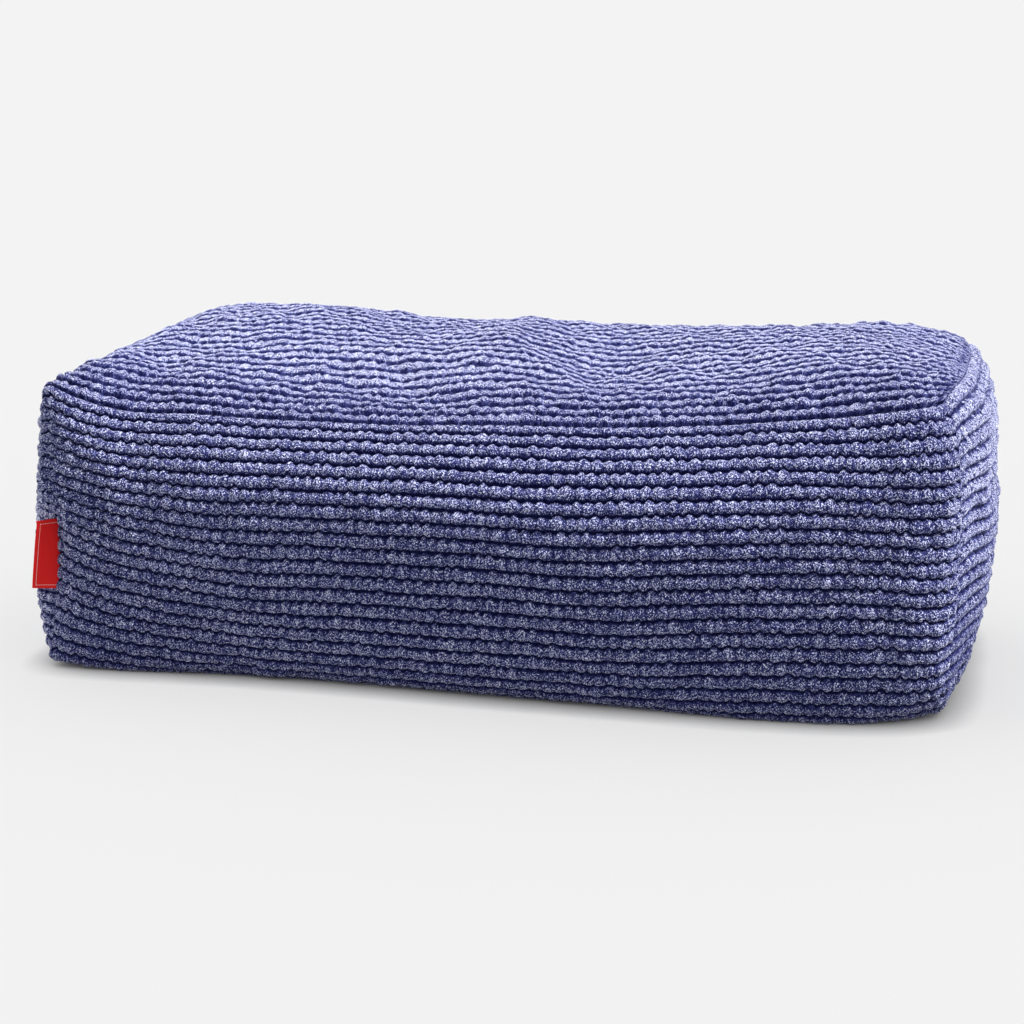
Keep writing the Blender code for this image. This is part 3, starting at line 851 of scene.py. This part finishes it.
def red_cloth():
    """A fine, slightly uneven woven tape."""
    look = Look("red_cloth")
    cloth = look.attribute("cloth", "Vector")
    weave = look.noise(look.turned_over(cloth, 0, WEAVE_STRETCH), scale=1.0, detail=PLAIN)
    grain = look.noise(cloth, WEAVE_GRAIN_SCALE, PLAIN)
    level = look.math("MULTIPLY_ADD", grain, WEAVE_GRAIN_GAIN, weave)
    level = look.math("MULTIPLY_ADD", level, WEAVE_GAIN, WEAVE_OFFSET, clamp=True)
    return look.finish({
        "Base Color": look.ramp(level, WEAVE_COLORS),
        "Normal": look.bump(level, strength=0.35, depth=0.0003),
        "Roughness": 0.80,
        "Specular IOR Level": 0.25,
    })


def thread():
    """The pale thread of the tab's border."""
    return Look("thread").finish({"Base Color": (*THREAD_COLOR, 1), "Roughness": 0.75})


def add_piece(piece, material):
    """Give a piece its material and its place in the table."""
    piece.data.materials.append(material)
    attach(piece, "root")
    return piece


def build_cover():
    """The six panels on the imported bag's shape."""
    places = np.linspace(-1, 1, ALONG_POINTS)
    all_round = wrap(places, np.linspace(0, WRAP_RIBS, WRAP_RIBS * POINTS_PER_RIB + 1))
    front_seam = SIDE_RIBS * POINTS_PER_RIB
    back_seam = front_seam + TOP_RIBS * POINTS_PER_RIB
    v, w = (np.linspace(0, 1, count) for count in END_POINTS)
    left, right = end_panel(-1, v, w), end_panel(1, v, w)
    lows = np.minimum(all_round.min((0, 1)), left.min((0, 1)))
    highs = np.maximum(all_round.max((0, 1)), right.max((0, 1)))
    low, high = (np.array(corner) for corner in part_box("cover"))
    shift = (low + high - lows - highs) / 2
    shift[2] = 0
    surfaces = {
        "cover_front": Surface(all_round[:, : front_seam + 1], 1),
        "cover_top": Surface(all_round[:, front_seam : back_seam + 1], 1),
        "cover_back": Surface(all_round[:, back_seam:], 1),
        "cover_base": Surface(base_panel(places, np.linspace(0, 1, BASE_POINTS)), -1),
        "cover_left_end": Surface(left, -1),
        "cover_right_end": Surface(right, 1),
    }
    material = chenille()
    pieces = {}
    for name, surface in surfaces.items():
        piece = add_piece(panel(name, surface, shift), material)
        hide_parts("cover")
        pieces[name] = piece
    return pieces, shift


class Tab:
    """The folded tab's form: two layers that leave the seam and meet in a fold."""

    def __init__(self, shift):
        self.seam = wrap(np.array([-1.0]), np.linspace(0, SIDE_RIBS, SECTION_STEPS))[0] + shift

    def place(self, share, along, aside):
        """A point at a share of the tab's height, this far out from the seam's line and this
        far towards the viewer from the middle between its layers."""
        z = TAB_FOOT + share * TAB_HEIGHT
        x = np.interp(z, self.seam[:, 2], self.seam[:, 0])
        y = np.interp(z, self.seam[:, 2], self.seam[:, 1])
        heading = np.radians(TAB_HEADING + TAB_TURN * share)
        along = along * (1 + TAB_FLARE / TAB_WIDTH * (1 - share))
        wave = TAB_WAVE * np.sin(share * TAB_WAVE_TURN) * np.clip(along / TAB_WIDTH, 0, 1)
        aside = aside + wave
        x = x + np.cos(heading) * along - np.sin(heading) * aside
        y = y + np.sin(heading) * along + np.cos(heading) * aside
        return np.stack([x, y, z], -1)


def tab_line():
    """The tab's closed section as distances out and aside: round the fold, and back inside."""
    inner = TAB_FOLD_GAP / 2
    outer = inner + TAB_LAYER
    bend = np.linspace(-np.pi / 2, np.pi / 2, TAB_BENDS)
    fold = TAB_WIDTH - outer
    straight = np.linspace(TAB_SEAT, fold, TAB_ALONG)[:-1]
    line = [(along, -outer) for along in straight]
    line += [(fold + outer * np.cos(a), outer * np.sin(a)) for a in bend]
    line += [(along, outer) for along in straight[::-1]]
    line += [(along, inner) for along in straight]
    line += [(fold + inner * np.cos(a), inner * np.sin(a)) for a in bend[::-1]]
    line += [(along, -inner) for along in straight[::-1]]
    return np.array(line)


def stitch_places():
    """The middles of the border's stitches as pairs of a share of the tab's height and a
    distance out, with the direction of each: 1 for those that run up the tab."""
    inset = STITCH_INSET / TAB_HEIGHT
    far = TAB_WIDTH - STITCH_INSET
    up = int((TAB_HEIGHT - 2 * STITCH_INSET) / STITCH_PITCH)
    sideways = int(far / STITCH_PITCH)
    for share in np.linspace(inset, 1 - inset, up):
        yield share, far, 1
    for share in (inset, 1 - inset):
        for k in range(sideways):
            yield share, far - (k + 0.5) * STITCH_PITCH, 0


def build_stitches(tab):
    """A row of short stitches inside three edges of the tab's outer face."""
    points, quads = [], []
    middle = TAB_FOLD_GAP / 2 + TAB_LAYER
    for share, along, upward in stitch_places():
        start = len(points)
        for end, girth in STITCH_RINGS:
            for turn in np.arange(STITCH_SIDES) * 2 * np.pi / STITCH_SIDES:
                wide = np.cos(turn) * girth * STITCH_WIDTH / 2
                high = np.sin(turn) * girth * STITCH_HEIGHT / 2
                run = end * STITCH_LENGTH / 2
                rise, out = (run, wide) if upward else (wide, run)
                points.append(tab.place(share + rise / TAB_HEIGHT, along + out, middle + high))
        numbers = np.arange(start, len(points)).reshape(-1, STITCH_SIDES)
        closed = np.concatenate([numbers, numbers[:, :1]], axis=1)
        quads.extend(grid_faces(closed, True))
        quads.extend((numbers[0, ::-1], numbers[-1]))
    stitches = make_mesh("tab_stitches", points, quads)
    return add_piece(stitches, thread())


def build_tab(shift):
    """The folded tab with its stitched border. It carries no lettering."""
    tab = Tab(shift)
    line = tab_line()
    shares = np.linspace(0, 1, TAB_STEPS + 1)
    rings = [tab.place(np.full(len(line), share), line[:, 0], line[:, 1]) for share in shares]
    points = np.concatenate(rings)
    count = len(line)
    numbers = np.arange(len(points)).reshape(len(rings), count)
    closed = np.concatenate([numbers, numbers[:, :1]], axis=1)
    quads = list(grid_faces(closed, True))
    for ring, turn in ((numbers[0], 1), (numbers[-1], -1)):
        for k in range(count // 2 - 1):
            quad = (ring[k], ring[k + 1], ring[count - 2 - k], ring[count - 1 - k])
            quads.append(quad[::turn])
    piece = make_mesh("tab_cloth", points, quads)
    piece.data.set_sharp_from_angle(angle=np.radians(TAB_SHARP))
    length = np.concatenate([[0], np.cumsum(np.linalg.norm(np.diff(line, axis=0), axis=1))])
    up = np.repeat(shares * TAB_HEIGHT, count)
    flat = np.stack([np.tile(length, len(rings)), up, np.zeros(len(up))], -1)
    write_attribute(piece.data, "cloth", flat * 1000)
    add_piece(piece, red_cloth())
    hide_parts("side_tab")
    stitches = build_stitches(tab)


def build_camera(shift):
    """The photo's view: a little to the right of the front and above it."""
    yaw, pitch = np.radians(CAMERA_YAW), np.radians(CAMERA_PITCH)
    back = Vector((np.sin(yaw) * np.cos(pitch), -np.cos(yaw) * np.cos(pitch), np.sin(pitch)))
    data = bpy.data.cameras.new("camera")
    data.sensor_width = SENSOR
    data.lens = LENS
    data.clip_end = FARTHEST
    camera = add_object("camera", data)
    camera.location = Vector(CAMERA_TARGET) + Vector(shift) + back * CAMERA_DISTANCE
    camera.rotation_euler = (-back).to_track_quat("-Z", "Y").to_euler()
    bpy.context.scene.camera = camera


def floor_material():
    """Partly lit by the light on it and partly glowing by itself, which the bag covers."""
    look = Look("floor")
    lit = look.add("ShaderNodeBsdfDiffuse", {"Color": grey(FLOOR_DIFFUSE)})
    reach = {"Distance": CONTACT_REACH}
    near = look.add("ShaderNodeAmbientOcclusion", reach, samples=CONTACT_SAMPLES)
    own = grey(BACKDROP * (1 - FLOOR_DIFFUSE))
    glow = look.add("ShaderNodeEmission", {"Color": own, "Strength": near.outputs["AO"]})
    both = look.add("ShaderNodeAddShader", {0: lit.outputs[0], 1: glow.outputs[0]})
    look.add("ShaderNodeOutputMaterial", {"Surface": both.outputs[0]})
    return look.material


def add_sun(name, strength, spread, towards):
    """A soft distant light that stands in the direction towards."""
    data = bpy.data.lights.new(name, "SUN")
    data.energy = strength
    data.angle = np.radians(spread)
    light = add_object(name, data)
    light.rotation_euler = Vector(towards).to_track_quat("Z", "Y").to_euler()
    return light


def build_studio():
    """A pale floor that runs into a background of its own tone, under soft light. The suns pass
    over the floor, so the bag has only the soft shadow of the light from all round."""
    mesh = bpy.data.meshes.new("floor")
    corners = [(x * FLOOR_HALF, y * FLOOR_HALF, 0) for x, y in ((-1, -1), (1, -1), (1, 1), (-1, 1))]
    mesh.from_pydata(corners, [], [(0, 1, 2, 3)])
    mesh.materials.append(floor_material())
    floor = add_object("floor", mesh)
    floor.location.z = -FLOOR_DROP

    world = bpy.data.worlds.new("studio")
    bpy.context.scene.world = world
    world.use_nodes = True
    backdrop = world.node_tree.nodes["Background"]
    backdrop.inputs["Color"].default_value = grey(BACKDROP)
    backdrop.inputs["Strength"].default_value = 1.0
    passed = bpy.data.collections.new("not lit by the suns")
    passed.objects.link(floor)
    for sun in SUNS:
        add_sun(*sun).light_linking.receiver_collection = passed
    passed.collection_objects[0].light_linking.link_state = "EXCLUDE"
    bpy.context.scene.view_settings.view_transform = "Standard"


build_studio()
pieces, shift = build_cover()
build_tab(shift)
build_camera(shift)
